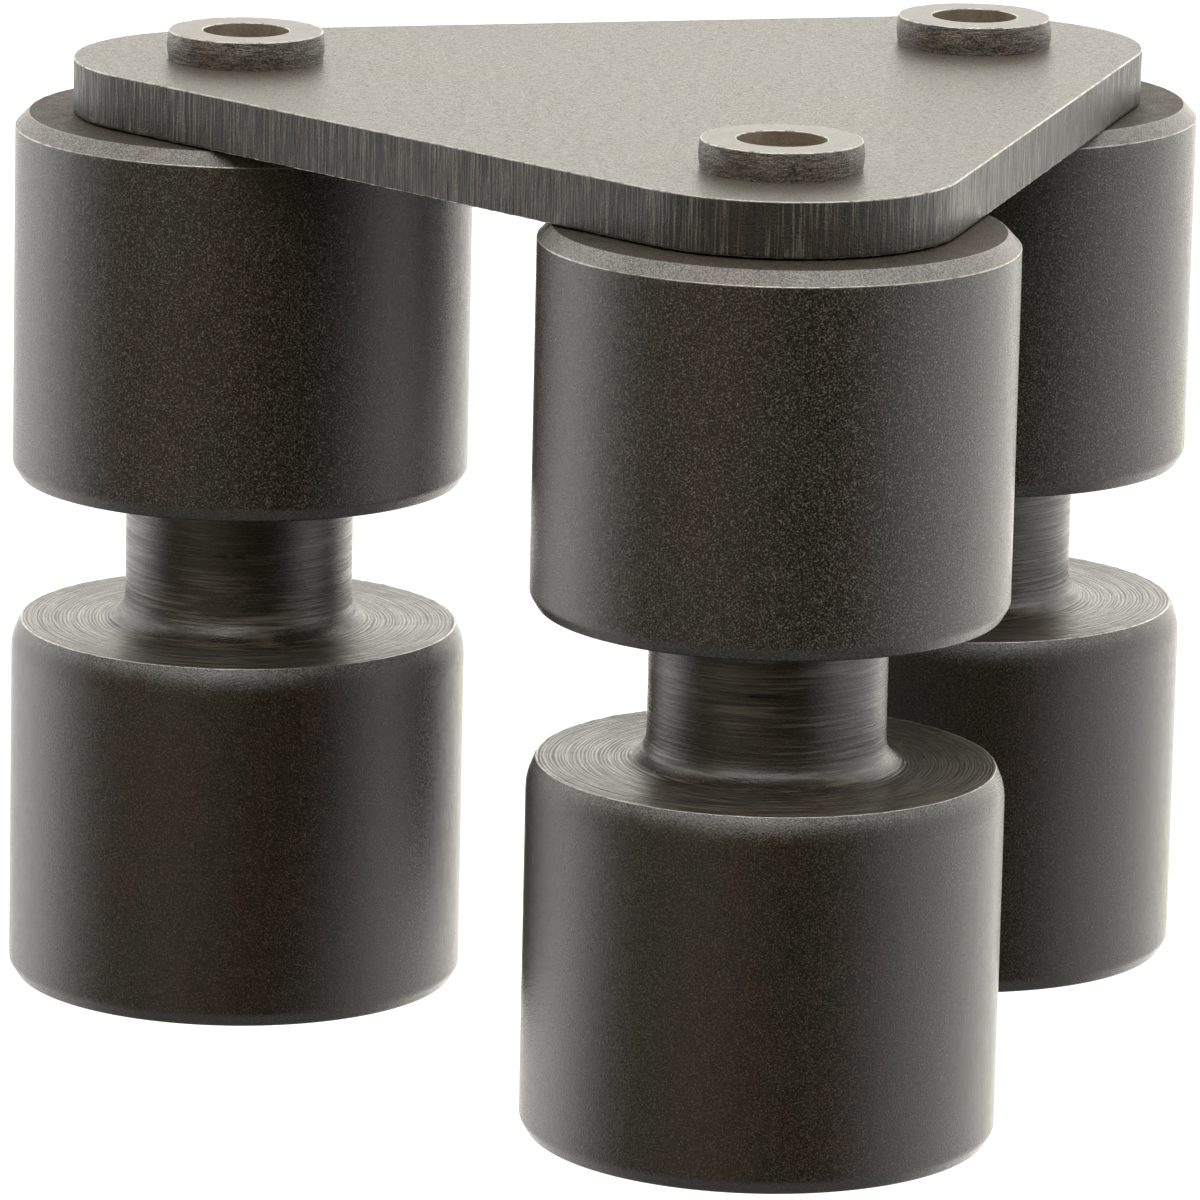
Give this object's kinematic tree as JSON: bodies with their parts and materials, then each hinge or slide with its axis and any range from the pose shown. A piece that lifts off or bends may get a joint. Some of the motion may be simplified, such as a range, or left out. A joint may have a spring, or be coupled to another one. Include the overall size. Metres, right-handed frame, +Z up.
{
  "type": "pneumatic gripper",
  "caption": "Pneumatic gripper head with a triangular plate, hollow port collars and spring-return cylinder posts whose round heads clamp an edge in a groove.",
  "frame": {"origin": "on the surface that the round heads stand on, under the middle of the bounding box", "axes": "+Z up through the plate, X along the plate's rear edge, -Y towards the single front post"},
  "size_m": [0.0672, 0.0616, 0.0537],
  "materials": {
    "black_oxide": "turned steel, black oxide with a thin oil film",
    "sheared_plate": "flat steel plate, black oxide, with striated cut edges",
    "bronze": "machined bearing bronze",
    "light_alloy": "machined, satin",
    "spring_steel": "drawn and zinc plated",
    "seal_rubber": "moulded nitrile rubber"
  },
  "bodies": {
    "gripper_base": {"mounting_plate": "sheared_plate", "cylinder_body_front": "black_oxide", "port_stem_front": "black_oxide", "port_seal_front": "seal_rubber", "cushion_ring_front": "seal_rubber", "gland_bush_front": "bronze", "rod_seal_front": "seal_rubber", "gland_seal_front": "seal_rubber", "retaining_ring_front": "spring_steel", "stem_nut_front": "spring_steel", "return_spring_front": "spring_steel", "cylinder_body_left": "black_oxide", "port_stem_left": "black_oxide", "port_seal_left": "seal_rubber", "cushion_ring_left": "seal_rubber", "gland_bush_left": "bronze", "rod_seal_left": "seal_rubber", "gland_seal_left": "seal_rubber", "retaining_ring_left": "spring_steel", "stem_nut_left": "spring_steel", "return_spring_left": "spring_steel", "cylinder_body_right": "black_oxide", "port_stem_right": "black_oxide", "port_seal_right": "seal_rubber", "cushion_ring_right": "seal_rubber", "gland_bush_right": "bronze", "rod_seal_right": "seal_rubber", "gland_seal_right": "seal_rubber", "retaining_ring_right": "spring_steel", "stem_nut_right": "spring_steel", "return_spring_right": "spring_steel"},
    "jaw_front": {"jaw_plunger_front": "black_oxide", "piston_front": "light_alloy", "piston_seal_front": "seal_rubber", "stem_seal_front": "seal_rubber", "head_plug_front": "black_oxide"},
    "jaw_left": {"jaw_plunger_left": "black_oxide", "piston_left": "light_alloy", "piston_seal_left": "seal_rubber", "stem_seal_left": "seal_rubber", "head_plug_left": "black_oxide"},
    "jaw_right": {"jaw_plunger_right": "black_oxide", "piston_right": "light_alloy", "piston_seal_right": "seal_rubber", "stem_seal_right": "seal_rubber", "head_plug_right": "black_oxide"}
  },
  "joints": [
    {"name": "jaw_slide_front", "type": "slide", "parent": "gripper_base", "child": "jaw_front", "axis": [0, 0, -1], "range_m": [0, 0.005], "stiffness_N_per_m": 1800, "springref_m": -0.006, "deforming": ["return_spring_front"]},
    {"name": "jaw_slide_left", "type": "slide", "parent": "gripper_base", "child": "jaw_left", "axis": [0, 0, -1], "range_m": [0, 0.005], "stiffness_N_per_m": 1800, "springref_m": -0.006, "deforming": ["return_spring_left"]},
    {"name": "jaw_slide_right", "type": "slide", "parent": "gripper_base", "child": "jaw_right", "axis": [0, 0, -1], "range_m": [0, 0.005], "stiffness_N_per_m": 1800, "springref_m": -0.006, "deforming": ["return_spring_right"]}
  ]
}
